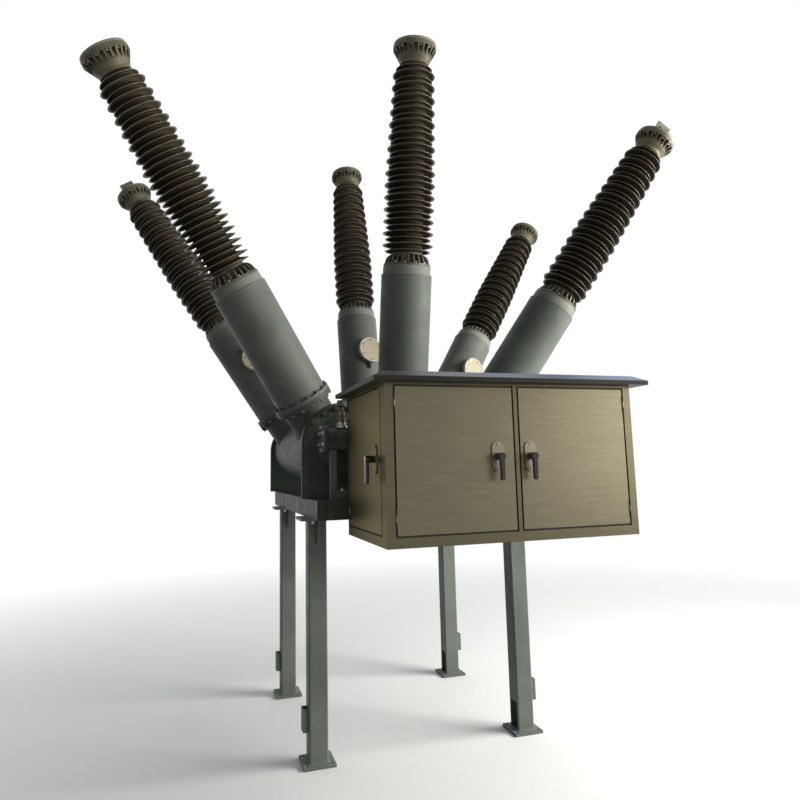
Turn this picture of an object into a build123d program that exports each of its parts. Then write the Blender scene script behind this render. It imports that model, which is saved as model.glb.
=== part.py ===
"""Three-phase dead-tank gas insulated breaker on a four-legged stand, with its operating cabinet in front.

X runs across the phases, -Y is the front with the cabinet, Z is up. The origin is on the ground, at the
centre of the pattern of foundation bolts. Millimetres.
"""
import os
from math import cos, radians, sin

from build123d import *

# Stand: legs, foot plates, leg heads and earthing pockets
leg_spacing_x = 1200.0
leg_spacing_y = 1090.0
leg_length = 1230.0
leg_width = 100.0
leg_wall = 5.0
leg_corner = 8.0
foot_size = 170.0
foot_thickness = 16.0
foot_hole_inset = 20.0
foot_hole_radius = 9.0
head_size = 190.0
head_thickness = 16.0
rib_height = 125.0
rib_thickness = 10.0
rib_toe = 12.0
hand_hole_width = 76.0
hand_hole_height = 150.0
pocket_rise = 149.0
pocket_height = 115.0
pocket_width = 60.0
pocket_depth = 30.0
pocket_wall = 5.0

# Base frame of rolled channels
channel_height = 98.0
channel_flange = 48.0
channel_web = 5.5
channel_lip = 8.5
channel_root = 6.0

# Tanks, one for each phase, between end plates that stand on the frame
tank_radius = 195.0
tank_wall = 8.0
tank_axis_rise = 300.0
support_margin = 30.0
support_gap = 10.0
support_thickness = 24.0
cover_margin = 17.0
cover_thickness = 26.0
crown_radius = 150.0
crown_height = 24.0
crown_land = 12.0

# Bushings, a pair in a V on each tank; the outer tanks are turned outwards about their own axes
bushing_tilt = 11.2
outer_turn = 32.0
bushing_middle_y = 195.0
bushing_half_spacing = 430.0
nozzle_to_front = 365.0
nozzle_to_rear = 235.0
nozzle_radius = 140.0
nozzle_wall = 8.0
nozzle_reach = 131.0
joint_flange_margin = 19.0
joint_flange_thickness = 24.0
housing_radius = 157.0
housing_length = 707.0
adapter_inset = 10.0
adapter_length = 57.0

# Terminal box on the inner side of each transformer housing
box_rise = 391.0
box_clocking = 14.0
box_neck_radius = 72.0
box_neck_length = 21.0
box_cover_radius = 100.0
box_cover_thickness = 24.0
box_cover_rounding = 6.0

# Cast fitting under each porcelain: a flange, a sleeve and gussets with a rounded shoulder
fitting_length = 80.0
fitting_sleeve = 6.0
fitting_rim_inset = 1.5
fitting_flange = 14.0
fitting_shoulder_inset = 12.0
fitting_shoulder_height = 40.0
fitting_gusset_height = 72.0
fitting_gusset_count = 24
gusset_thickness = 9.0
gusset_lip = 5.0
gusset_bite = 6.0

# Porcelain with a small and a large shed in turn
porcelain_length = 1138.0
core_radius_bottom = 92.0
core_radius_top = 84.0
shed_radius_bottom = 157.0
shed_radius_top = 126.0
small_shed_step = 16.0
shed_count = 31
shed_rise = 22.0
shed_edge = 5.0
shed_taper_share = 0.62
shed_foot_share = 0.25

# Cast cap on each porcelain: a neck, a flare with bolt pockets under a wide rim, and a lid
cap_sleeve = 5.0
cap_rim_radius = 131.0
cap_flare_height = 92.0
cap_flare_toe = 18.0
cap_rim_height = 24.0
cap_lid_inset = 4.0
cap_lid_height = 16.0
cap_pocket_count = 24
cap_pocket_width = 22.0
cap_pocket_height = 48.0
cap_pocket_floor = 104.0

# Terminal pads on two of the caps
pad_width = 100.0
pad_height = 95.0
pad_thickness = 16.0
pad_foot = 40.0
pad_hole_radius = 7.0
pad_hole_spacing = 45.0

# Drive tube across the front of the tanks, with its crank boxes, posts and gas valve
drive_tube_radius = 57.0
drive_tube_overhang = 140.0
drive_tube_rise = 17.0
drive_flange_radius = 72.0
drive_flange_thickness = 22.0
crank_radius = 68.0
crank_length = 38.0
post_width = 32.0
post_thickness = 40.0
post_to_flange = 18.0
post_foot_width = 90.0
post_foot_height = 42.0
valve_from_end = 106.0
valve_base_radius = 34.0
valve_base_height = 30.0
valve_body_radius = 20.0
valve_body_height = 62.0
valve_neck_radius = 9.0
valve_neck_height = 20.0
valve_knob_radius = 25.0
valve_knob_height = 38.0
valve_knob_rounding = 7.0

# Operating cabinet
cabinet_from_drive = 115.0
cabinet_centre_x = 120.0
cabinet_width = 1220.0
cabinet_depth = 674.0
cabinet_height = 690.0
cabinet_drop = 74.0
sheet = 3.0
front_stile = 38.0
side_front_stile = 70.0
side_rear_stile = 24.0
mullion_width = 18.0
rail_depth = 30.0
bottom_rail_height = 43.0
top_rail_height = 10.0
door_gap = 8.0
door_thickness = 24.0
door_skin = 2.5
roof_overhang = 62.0
roof_fascia = 20.0
roof_rise = 27.0
roof_slope_run = 52.0

# Hinges
hinge_axis_reach = 2.0
knuckle_radius = 3.4
knuckle_height = 26.0
knuckle_bite = 2.0
knuckle_inset = 70.0
knuckle_play = 1.0
pin_radius = 2.0
pin_clearance = 0.3

# Door handles: a plate on the door, a hub and a hanging lever
handle_drop = 311.0
left_handle_inset = 80.0
right_handle_inset = 46.0
side_handle_inset = 76.0
plate_width = 58.0
plate_height = 131.0
plate_thickness = 6.0
hub_radius = 16.0
hub_length = 42.0
lever_head_radius = 10.0
lever_end_radius = 8.0
lever_length = 96.0
lever_thickness = 16.0

# Clearance of seated curved pieces and of turning pieces, and the overrun of cuts
seat_clearance = 0.3
cut_overrun = 4.0

os.makedirs("parts", exist_ok=True)
made = []


def save(part, name):
    """Label a finished piece and write it as its own node."""
    part.label = name
    export_step(part, f"parts/{name}.step")
    made.append(name)


def front_plane(x, y, z):
    """Plane that faces the front: its x is +X, its y is +Z and its normal is -Y."""
    return Plane(origin=(x, y, z), x_dir=(1, 0, 0), z_dir=(0, -1, 0))


def left_plane(x, y, z):
    """Plane that faces left: its x is -Y, its y is +Z and its normal is -X."""
    return Plane(origin=(x, y, z), x_dir=(0, -1, 0), z_dir=(-1, 0, 0))


# Heights and places worked out from the sizes above
sides = (-1, 1)
phases = {"left": -1, "centre": 0, "right": 1}
rows = {"front": -1, "rear": 1}
leg_names = {(-1, -1): "front_left", (1, -1): "front_right", (-1, 1): "rear_left", (1, 1): "rear_right"}
leg_places = [(sx * leg_spacing_x / 2, sy * leg_spacing_y / 2) for sx, sy in leg_names]
head_bottom_height = foot_thickness + leg_length
frame_bottom_height = head_bottom_height + head_thickness
frame_top_height = frame_bottom_height + channel_height
frame_half_width = leg_spacing_x / 2 + leg_width / 2
tank_axis_height = frame_top_height + tank_axis_rise
support_radius = tank_radius + support_margin
cover_radius = tank_radius + cover_margin
phase_spacing = 2 * support_radius + support_gap
tank_front_y = bushing_middle_y - bushing_half_spacing - nozzle_to_front
tank_rear_y = bushing_middle_y + bushing_half_spacing + nozzle_to_rear
crank_start = tank_front_y - cover_thickness - crown_height
drive_tube_y = crank_start - crank_length - drive_tube_radius
drive_tube_height = tank_axis_height + drive_tube_rise
frame_front_y = drive_tube_y - cabinet_from_drive
frame_rear_y = tank_rear_y

# Foot plates with their anchor holes
with BuildPart() as foot_plates:
    with BuildSketch():
        with Locations(*leg_places):
            Rectangle(foot_size, foot_size)
    extrude(amount=foot_thickness)
    with Locations(*leg_places):
        with GridLocations(foot_size - 2 * foot_hole_inset, foot_size - 2 * foot_hole_inset, 2, 2):
            Hole(foot_hole_radius, foot_thickness)
save(foot_plates.part, "foot_plates")

# Square-tube legs, each with a hand hole at the foot of its inner side
for (sx, sy), name in leg_names.items():
    x = sx * leg_spacing_x / 2
    y = sy * leg_spacing_y / 2
    with BuildPart() as leg:
        with BuildSketch(Plane((x, y, foot_thickness))):
            RectangleRounded(leg_width, leg_width, leg_corner)
            Rectangle(leg_width - 2 * leg_wall, leg_width - 2 * leg_wall, mode=Mode.SUBTRACT)
        extrude(amount=leg_length)
        inner_face_x = x - sx * (leg_width / 2 + cut_overrun)
        with BuildSketch(left_plane(inner_face_x, y, foot_thickness)):
            with Locations((0, hand_hole_height / 2)):
                Rectangle(hand_hole_width, hand_hole_height)
        extrude(amount=-sx * (leg_wall + 2 * cut_overrun), mode=Mode.SUBTRACT)
    save(leg.part, f"leg_{name}")

# Leg heads: a top plate with a blunt gusset before and behind the leg
with BuildPart() as leg_heads:
    for x, y in leg_places:
        with BuildSketch(Plane((x, y, head_bottom_height))):
            Rectangle(head_size, head_size)
        extrude(amount=head_thickness)
        for sy in sides:
            rib_start = y + sy * leg_width / 2
            rib_end = y + sy * head_size / 2
            with BuildSketch(Plane.YZ.offset(x - rib_thickness / 2)):
                with BuildLine():
                    Polyline((rib_start, head_bottom_height), (rib_end, head_bottom_height),
                             (rib_end, head_bottom_height - rib_toe),
                             (rib_start + sy * rib_toe, head_bottom_height - rib_height),
                             (rib_start, head_bottom_height - rib_height), close=True)
                make_face()
            extrude(amount=rib_thickness)
save(leg_heads.part, "leg_heads")

# Earthing pockets: a bent strap on the outer side of each leg, open above and below
pocket_bottom_height = foot_thickness + pocket_rise
with BuildPart() as earth_pockets:
    for sx, sy in leg_names:
        wall_x = sx * (leg_spacing_x / 2 + leg_width / 2)
        with BuildSketch(Plane((wall_x, sy * leg_spacing_y / 2, pocket_bottom_height))):
            with Locations((sx * pocket_depth / 2, 0)):
                Rectangle(pocket_depth, pocket_width)
            with Locations((sx * (pocket_depth - pocket_wall) / 2, 0)):
                Rectangle(pocket_depth - pocket_wall, pocket_width - 2 * pocket_wall, mode=Mode.SUBTRACT)
        extrude(amount=pocket_height)
save(earth_pockets.part, "earth_pockets")


def channel_section(web_side):
    """Rolled channel, web upright; web_side is +1 or -1 for the side of the web along the sketch's x."""
    Rectangle(channel_flange, channel_height)
    with Locations((-web_side * (channel_web + channel_root) / 2, 0)):
        RectangleRounded(channel_flange - channel_web + channel_root, channel_height - 2 * channel_lip,
                         channel_root, mode=Mode.SUBTRACT)


# Base frame: long side channels with closed ends, end channels between them, and cross channels under the
# front end plates of the tanks and under the drive posts
channel_middle_height = frame_bottom_height + channel_height / 2
with BuildPart() as frame_side_beams:
    for sx in sides:
        x = sx * (frame_half_width - channel_flange / 2)
        with BuildSketch(front_plane(x, frame_rear_y, channel_middle_height)):
            channel_section(sx)
        extrude(amount=frame_rear_y - frame_front_y)
        for y in (frame_front_y + channel_web, frame_rear_y):
            with BuildSketch(front_plane(x, y, channel_middle_height)):
                Rectangle(channel_flange, channel_height)
            extrude(amount=channel_web)
save(frame_side_beams.part, "frame_side_beams")

cross_length = 2 * (frame_half_width - channel_flange)
with BuildPart() as frame_end_beams:
    for y, web_side in ((frame_front_y + channel_flange / 2, 1), (frame_rear_y - channel_flange / 2, -1)):
        with BuildSketch(left_plane(cross_length / 2, y, channel_middle_height)):
            channel_section(web_side)
        extrude(amount=cross_length)
save(frame_end_beams.part, "frame_end_beams")

with BuildPart() as frame_cross_beams:
    for y in (tank_front_y + support_thickness / 2, drive_tube_y):
        with BuildSketch(left_plane(cross_length / 2, y, channel_middle_height)):
            channel_section(1)
        extrude(amount=cross_length)
save(frame_cross_beams.part, "frame_cross_beams")


def bushing_plane(phase, row):
    """Plane on the tank's axis whose normal runs up the bushing, tilted along and turned about the tank."""
    turn = radians(phase * outer_turn)
    tilt = radians(bushing_tilt)
    axis = (cos(tilt) * sin(turn), row * sin(tilt), cos(tilt) * cos(turn))
    across = (cos(turn), 0, -sin(turn))
    origin = (phase * phase_spacing, bushing_middle_y + row * bushing_half_spacing, tank_axis_height)
    return Plane(origin=origin, x_dir=across, z_dir=axis)


# Tank shells, each bored for its two nozzles
tank_start = tank_front_y + support_thickness
tank_end = tank_rear_y - support_thickness
nozzle_end = tank_radius + nozzle_reach
for phase_name, phase in phases.items():
    with BuildPart() as tank:
        with BuildSketch(front_plane(phase * phase_spacing, tank_end, tank_axis_height)):
            Circle(tank_radius)
            Circle(tank_radius - tank_wall, mode=Mode.SUBTRACT)
        extrude(amount=tank_end - tank_start)
        for row in rows.values():
            with BuildSketch(bushing_plane(phase, row)):
                Circle(nozzle_radius - nozzle_wall)
            extrude(amount=nozzle_end, mode=Mode.SUBTRACT)
    save(tank.part, f"tank_{phase_name}")

# Nozzles: a flanged tube on a saddle cut to the shell
joint_flange_radius = housing_radius + joint_flange_margin
with BuildPart() as tank_nozzles:
    for phase in phases.values():
        for row in rows.values():
            seat = bushing_plane(phase, row)
            with BuildSketch(seat):
                Circle(nozzle_radius)
            extrude(amount=nozzle_end)
            with BuildSketch(seat.offset(nozzle_end - joint_flange_thickness)):
                Circle(joint_flange_radius)
            extrude(amount=joint_flange_thickness)
            with BuildSketch(seat):
                Circle(nozzle_radius - nozzle_wall)
            extrude(amount=nozzle_end + cut_overrun, mode=Mode.SUBTRACT)
        with BuildSketch(front_plane(phase * phase_spacing, tank_end, tank_axis_height)):
            Circle(tank_radius)
        extrude(amount=tank_end - tank_start, mode=Mode.SUBTRACT)
save(tank_nozzles.part, "tank_nozzles")


def support_plate(x, y):
    """End plate of a tank: round over the tank's axis, with straight sides down to the frame."""
    with BuildSketch(front_plane(x, y, tank_axis_height)) as plate:
        Circle(support_radius)
        with Locations((0, -tank_axis_rise / 2)):
            Rectangle(2 * support_radius, tank_axis_rise)
        Circle(tank_radius - tank_wall, mode=Mode.SUBTRACT)
    extrude(plate.sketch, amount=support_thickness)


with BuildPart() as tank_front_supports:
    for phase in phases.values():
        support_plate(phase * phase_spacing, tank_start)
save(tank_front_supports.part, "tank_front_supports")

with BuildPart() as tank_rear_supports:
    for phase in phases.values():
        support_plate(phase * phase_spacing, tank_rear_y)
save(tank_rear_supports.part, "tank_rear_supports")


def end_cover(x, y, outward):
    """Bolted cover, turned about the tank's axis: a flat rim and a dished crown with a flat land."""
    land_radius = crank_radius + crown_land
    section = Plane(origin=(x, y, tank_axis_height), x_dir=(0, 0, 1), z_dir=(-outward, 0, 0))
    with BuildSketch(section) as half:
        with BuildLine():
            Polyline((0, cover_thickness + crown_height), (0, 0), (cover_radius, 0),
                     (cover_radius, cover_thickness), (crown_radius, cover_thickness))
            TangentArc((land_radius, cover_thickness + crown_height), (crown_radius, cover_thickness),
                       tangent=(1, 0))
            Line((land_radius, cover_thickness + crown_height), (0, cover_thickness + crown_height))
        make_face()
    revolve(half.sketch, axis=Axis((x, y, tank_axis_height), (0, 1, 0)))


with BuildPart() as tank_front_covers:
    for phase in phases.values():
        end_cover(phase * phase_spacing, tank_front_y, -1)
save(tank_front_covers.part, "tank_front_covers")

with BuildPart() as tank_rear_covers:
    for phase in phases.values():
        end_cover(phase * phase_spacing, tank_rear_y, 1)
save(tank_rear_covers.part, "tank_rear_covers")

# Drive tube with a flange at each end
drive_half_length = phase_spacing + drive_tube_overhang
with BuildPart() as drive_tube:
    with BuildSketch(left_plane(drive_half_length, drive_tube_y, drive_tube_height)):
        Circle(drive_tube_radius)
    extrude(amount=2 * drive_half_length)
    for x in (drive_half_length, drive_flange_thickness - drive_half_length):
        with BuildSketch(left_plane(x, drive_tube_y, drive_tube_height)):
            Circle(drive_flange_radius)
        extrude(amount=drive_flange_thickness)
save(drive_tube.part, "drive_tube")

# Crank boxes between the covers and the drive tube
crank_end = drive_tube_y + drive_tube_radius + seat_clearance
with BuildPart() as crank_boxes:
    for phase in phases.values():
        with BuildSketch(front_plane(phase * phase_spacing, crank_start, tank_axis_height)):
            Circle(crank_radius)
        extrude(amount=crank_start - crank_end)
save(crank_boxes.part, "crank_boxes")

# Posts under the ends of the drive tube, each with a block at its foot
post_outer_x = drive_half_length - drive_flange_thickness - post_to_flange
post_top = drive_tube_height - drive_tube_radius - seat_clearance
with BuildPart() as drive_posts:
    for sx in sides:
        for width, height in ((post_width, post_top - frame_top_height), (post_foot_width, post_foot_height)):
            with BuildSketch(Plane((sx * (post_outer_x - width / 2), drive_tube_y, frame_top_height))):
                Rectangle(width, post_thickness)
            extrude(amount=height)
save(drive_posts.part, "drive_posts")

# Gas valve on top of the drive tube's left end: base, body, stem and knob
valve_x = valve_from_end - drive_half_length
valve_seat = drive_tube_height + drive_tube_radius + seat_clearance
valve_steps = ((valve_base_radius, valve_base_height), (valve_body_radius, valve_body_height),
               (valve_neck_radius, valve_neck_height), (valve_knob_radius, valve_knob_height))
with BuildPart() as gas_valve:
    step_start = valve_seat
    for radius, height in valve_steps:
        with BuildSketch(Plane((valve_x, drive_tube_y, step_start))):
            Circle(radius)
        extrude(amount=height)
        step_start = step_start + height
    fillet(gas_valve.faces().sort_by(Axis.Z)[-1].edges(), radius=valve_knob_rounding)
save(gas_valve.part, "gas_valve")

# Distances up the bushing from the tank's axis, where one piece ends and the next is seated
housing_start = nozzle_end + joint_flange_thickness
housing_end = housing_start + housing_length
adapter_end = housing_end + adapter_length
fitting_end = adapter_end + fitting_length
porcelain_end = fitting_end + porcelain_length
cap_rim_start = porcelain_end + cap_flare_height
cap_rim_end = cap_rim_start + cap_rim_height
cap_end = cap_rim_end + cap_lid_height

# Transformer housing with its joint flange and adapter ring, turned on the bushing's axis
adapter_radius = housing_radius - adapter_inset
with BuildPart() as housing:
    with BuildSketch(Plane.XZ):
        with BuildLine():
            Polyline((0, nozzle_end), (joint_flange_radius, nozzle_end), (joint_flange_radius, housing_start),
                     (housing_radius, housing_start), (housing_radius, housing_end),
                     (adapter_radius, housing_end), (adapter_radius, adapter_end), (0, adapter_end),
                     close=True)
        make_face()
    revolve(axis=Axis.Z)

# Terminal box: a neck that ends on the housing's round wall, and a round cover towards the other row
box_inwards = (sin(radians(box_clocking)), cos(radians(box_clocking)), 0)
box_plane = Plane(origin=(0, 0, housing_start + box_rise), x_dir=(0, 0, 1), z_dir=box_inwards)
with BuildPart() as terminal_box:
    with BuildSketch(box_plane):
        Circle(box_neck_radius)
    extrude(amount=housing_radius + box_neck_length)
    with BuildSketch(box_plane.offset(housing_radius + box_neck_length)):
        Circle(box_cover_radius)
    extrude(amount=box_cover_thickness)
    box_axis = Axis(box_plane.origin, box_plane.z_dir)
    outer_face = terminal_box.faces().filter_by(GeomType.PLANE).sort_by(box_axis)[-1]
    fillet(outer_face.edges(), radius=box_cover_rounding)
    with BuildSketch():
        Circle(housing_radius)
    extrude(amount=housing_end, mode=Mode.SUBTRACT)

# Lower fitting: flange and sleeve, with gussets round them
fitting_rim = adapter_radius - fitting_rim_inset
sleeve_radius = core_radius_bottom + fitting_sleeve
flange_top = adapter_end + fitting_flange
with BuildPart() as fitting_gusset:
    with BuildSketch(Plane.XZ):
        toe = (fitting_rim - gusset_lip, flange_top)
        shoulder = (fitting_rim - fitting_shoulder_inset, adapter_end + fitting_shoulder_height)
        head = (sleeve_radius, adapter_end + fitting_gusset_height)
        root = sleeve_radius - gusset_bite
        with BuildLine():
            Line(toe, shoulder)
            TangentArc(shoulder, head, tangent=(shoulder[0] - toe[0], shoulder[1] - toe[1]))
            Polyline(head, (root, head[1]), (root, adapter_end), (toe[0], adapter_end), toe)
        make_face()
    extrude(amount=gusset_thickness / 2, both=True)

with BuildPart() as lower_fitting:
    with BuildSketch(Plane.XZ):
        with BuildLine():
            Polyline((0, adapter_end), (fitting_rim, adapter_end), (fitting_rim, flange_top),
                     (sleeve_radius, flange_top), (sleeve_radius, fitting_end), (0, fitting_end), close=True)
        make_face()
    revolve(axis=Axis.Z)
    with PolarLocations(0, fitting_gusset_count):
        add(fitting_gusset.part)

# Cap: neck, flare, rim and lid, with pockets for the bolts cut into the flare under the rim
cap_neck_radius = core_radius_top + cap_sleeve
lid_radius = cap_rim_radius - cap_lid_inset
with BuildPart() as cap:
    with BuildSketch(Plane.XZ):
        with BuildLine():
            Polyline((0, porcelain_end), (cap_neck_radius, porcelain_end),
                     (cap_neck_radius, porcelain_end + cap_flare_toe), (cap_rim_radius, cap_rim_start),
                     (cap_rim_radius, cap_rim_end), (lid_radius, cap_rim_end), (lid_radius, cap_end),
                     (0, cap_end), close=True)
        make_face()
    revolve(axis=Axis.Z)
    with BuildSketch(Plane.XY.offset(cap_rim_start - cap_pocket_height)):
        with PolarLocations(cap_pocket_floor + cap_rim_radius / 2, cap_pocket_count):
            Rectangle(cap_rim_radius, cap_pocket_width)
    extrude(amount=cap_pocket_height, mode=Mode.SUBTRACT)


def shed_points():
    """Outline of the porcelain from foot to head: a small and a large shed in turn along a tapered core."""
    pitch = porcelain_length / shed_count
    points = [(0, fitting_end), (core_radius_bottom, fitting_end)]
    for number in range(shed_count):
        height = fitting_end + (number + shed_foot_share) * pitch
        share = (height - fitting_end) / porcelain_length
        core = core_radius_bottom + (core_radius_top - core_radius_bottom) * share
        narrowing = max(0, (share - (1 - shed_taper_share)) / shed_taper_share)
        rim = shed_radius_bottom + (shed_radius_top - shed_radius_bottom) * narrowing
        rim = rim - small_shed_step * ((number + 1) % 2)
        points += [(core, height), (rim, height), (rim, height + shed_edge), (core, height + shed_rise)]
    return points + [(core_radius_top, porcelain_end), (0, porcelain_end)]


# Porcelain, turned on the bushing's axis
with BuildPart() as porcelain:
    with BuildSketch(Plane.XZ):
        with BuildLine():
            Polyline(*shed_points(), close=True)
        make_face()
    revolve(axis=Axis.Z)

# The six bushings: each piece is set on its seats, the front row and the rear row apart where it is large
for row_name, row in rows.items():
    for piece, name in ((housing, "ct_housings"), (porcelain, "porcelains")):
        with BuildPart() as row_of_pieces:
            for phase in phases.values():
                add(piece.part.moved(bushing_plane(phase, row).location))
        save(row_of_pieces.part, f"{row_name}_{name}")

for piece, name in ((lower_fitting, "lower_fittings"), (cap, "bushing_caps")):
    with BuildPart() as all_pieces:
        for phase in phases.values():
            for row in rows.values():
                add(piece.part.moved(bushing_plane(phase, row).location))
    save(all_pieces.part, name)

box_facing_front = mirror(terminal_box.part, about=Plane.XZ)
with BuildPart() as ct_boxes:
    for phase in phases.values():
        add(terminal_box.part.moved(bushing_plane(phase, rows["front"]).location))
        add(box_facing_front.moved(bushing_plane(phase, rows["rear"]).location))
save(ct_boxes.part, "ct_boxes")

# Terminal pads: an upright plate on a foot, with four holes, on the front right and the rear left cap
with BuildPart() as terminal_pads:
    for phase, row in ((phases["right"], rows["front"]), (phases["left"], rows["rear"])):
        top = bushing_plane(phase, row).offset(cap_end)
        with BuildSketch(top):
            Rectangle(pad_width, pad_foot)
        extrude(amount=pad_thickness)
        face = Plane(origin=top.origin + top.y_dir * (-pad_thickness / 2), x_dir=top.x_dir, z_dir=-top.y_dir)
        with BuildSketch(face):
            with Locations((0, (pad_height + pad_thickness) / 2)):
                Rectangle(pad_width, pad_height + pad_thickness)
                with GridLocations(pad_hole_spacing, pad_hole_spacing, 2, 2):
                    Circle(pad_hole_radius, mode=Mode.SUBTRACT)
        extrude(amount=-pad_thickness)
save(terminal_pads.part, "terminal_pads")

# Operating cabinet, bolted to the front channel of the frame
cabinet_left = cabinet_centre_x - cabinet_width / 2
cabinet_right = cabinet_centre_x + cabinet_width / 2
cabinet_back = frame_front_y
cabinet_front = cabinet_back - cabinet_depth
cabinet_bottom_height = frame_bottom_height - cabinet_drop
cabinet_top_height = cabinet_bottom_height + cabinet_height
wall_bottom = cabinet_bottom_height + sheet
inner_back = cabinet_back - sheet
mullion_left = cabinet_centre_x - mullion_width / 2
mullion_right = cabinet_centre_x + mullion_width / 2
door_bottom = cabinet_bottom_height + bottom_rail_height
door_top = cabinet_top_height - top_rail_height
side_bay = (cabinet_front + side_front_stile, inner_back - side_rear_stile)
front_bays = ((cabinet_left + front_stile, mullion_left), (mullion_right, cabinet_right - front_stile))


def block(x0, x1, y0, y1, z0, z1):
    """Upright block between two corners."""
    with BuildSketch(Plane(((x0 + x1) / 2, (y0 + y1) / 2, z0))) as base:
        Rectangle(x1 - x0, y1 - y0)
    extrude(base.sketch, amount=z1 - z0)


with BuildPart() as cabinet_floor:
    block(cabinet_left, cabinet_right, cabinet_front, cabinet_back, cabinet_bottom_height, wall_bottom)
save(cabinet_floor.part, "cabinet_floor")

with BuildPart() as cabinet_back_wall:
    block(cabinet_left, cabinet_right, inner_back, cabinet_back, wall_bottom, cabinet_top_height)
save(cabinet_back_wall.part, "cabinet_back_wall")

rail_back = cabinet_front + rail_depth
rail_inside = cabinet_left + rail_depth
with BuildPart() as cabinet_right_wall:
    block(cabinet_right - sheet, cabinet_right, rail_back, inner_back, wall_bottom, cabinet_top_height)
save(cabinet_right_wall.part, "cabinet_right_wall")

# Posts: an angle at the left front corner, stiles at the right front and left rear, and the mullion
with BuildPart() as cabinet_posts:
    block(cabinet_left, front_bays[0][0], cabinet_front, rail_back, wall_bottom, cabinet_top_height)
    block(cabinet_left, rail_inside, cabinet_front, side_bay[0], wall_bottom, cabinet_top_height)
    block(front_bays[1][1], cabinet_right, cabinet_front, rail_back, wall_bottom, cabinet_top_height)
    block(cabinet_left, rail_inside, side_bay[1], inner_back, wall_bottom, cabinet_top_height)
    block(mullion_left, mullion_right, cabinet_front, rail_back, wall_bottom, cabinet_top_height)
save(cabinet_posts.part, "cabinet_posts")

# Rails over and under the three door openings
with BuildPart() as cabinet_rails:
    for z0, z1 in ((wall_bottom, door_bottom), (door_top, cabinet_top_height)):
        for x0, x1 in front_bays:
            block(x0, x1, cabinet_front, rail_back, z0, z1)
        block(cabinet_left, rail_inside, side_bay[0], side_bay[1], z0, z1)
save(cabinet_rails.part, "cabinet_rails")

# Roof: an upright edge with slopes above it on all four sides
roof_width = cabinet_width + 2 * roof_overhang
roof_depth = cabinet_depth + roof_overhang
roof_middle = (cabinet_centre_x, cabinet_back - roof_depth / 2)
with BuildPart() as cabinet_roof:
    with BuildSketch(Plane((*roof_middle, cabinet_top_height))):
        Rectangle(roof_width, roof_depth)
    extrude(amount=roof_fascia)
    with BuildSketch(Plane((*roof_middle, cabinet_top_height + roof_fascia))):
        Rectangle(roof_width, roof_depth)
    with BuildSketch(Plane((*roof_middle, cabinet_top_height + roof_fascia + roof_rise))):
        Rectangle(roof_width - 2 * roof_slope_run, roof_depth - 2 * roof_slope_run)
    loft()
save(cabinet_roof.part, "cabinet_roof")

# Doors: sheet pans flush with the cabinet's faces, each with hinge knuckles at one end
door_height = door_top - door_bottom - 2 * door_gap
door_middle_height = (door_bottom + door_top) / 2
knuckle_heights = [door_bottom + door_gap + knuckle_inset, door_top - door_gap - knuckle_inset]
hinge_ends = {"front_left_door": -1, "front_right_door": 1, "side_door": -1}
door_planes = {
    "front_left_door": front_plane(sum(front_bays[0]) / 2, cabinet_front, door_middle_height),
    "front_right_door": front_plane(sum(front_bays[1]) / 2, cabinet_front, door_middle_height),
    "side_door": left_plane(cabinet_left, sum(side_bay) / 2, door_middle_height),
}
door_widths = {
    "front_left_door": front_bays[0][1] - front_bays[0][0] - 2 * door_gap,
    "front_right_door": front_bays[1][1] - front_bays[1][0] - 2 * door_gap,
    "side_door": side_bay[1] - side_bay[0] - 2 * door_gap,
}


def hinge_plane(name, height):
    """Level plane on a door's hinge axis: its x runs along the door and its y points into the cabinet."""
    plane = door_planes[name]
    along = hinge_ends[name] * (door_widths[name] + door_gap) / 2
    spot = plane.origin + plane.x_dir * along + plane.z_dir * hinge_axis_reach
    return Plane(origin=(spot.X, spot.Y, height), x_dir=plane.x_dir, z_dir=(0, 0, 1))


def hinge_leaf(towards, bite):
    """Knuckle section: a round eye, and a leaf from it into the gap along the sketch's +x (1) or -x (-1)."""
    leaf_width = door_gap / 2 + bite
    Circle(knuckle_radius)
    with Locations((towards * leaf_width / 2, knuckle_radius / 2 + knuckle_bite)):
        Rectangle(leaf_width, knuckle_radius + 2 * knuckle_bite)


for name, plane in door_planes.items():
    with BuildPart() as door:
        with BuildSketch(plane):
            Rectangle(door_widths[name], door_height)
        extrude(amount=-door_thickness)
        with BuildSketch(plane.offset(-door_skin)):
            Rectangle(door_widths[name] - 2 * door_skin, door_height - 2 * door_skin)
        extrude(amount=-door_thickness, mode=Mode.SUBTRACT)
        for height in knuckle_heights:
            with BuildSketch(hinge_plane(name, height - knuckle_height / 2)):
                hinge_leaf(-hinge_ends[name], knuckle_bite)
                Circle(pin_radius + pin_clearance, mode=Mode.SUBTRACT)
            extrude(amount=knuckle_height)
    save(door.part, name)

# Hinge pins, each held between two knuckles on the post
with BuildPart() as hinge_pins:
    span = knuckle_height / 2 + knuckle_play
    for name in door_planes:
        for height in knuckle_heights:
            for start in (height - span - knuckle_height, height + span):
                with BuildSketch(hinge_plane(name, start)):
                    hinge_leaf(hinge_ends[name], 0)
                extrude(amount=knuckle_height)
            with BuildSketch(hinge_plane(name, height - span)):
                Circle(pin_radius)
            extrude(amount=2 * span)
save(hinge_pins.part, "hinge_pins")

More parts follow.
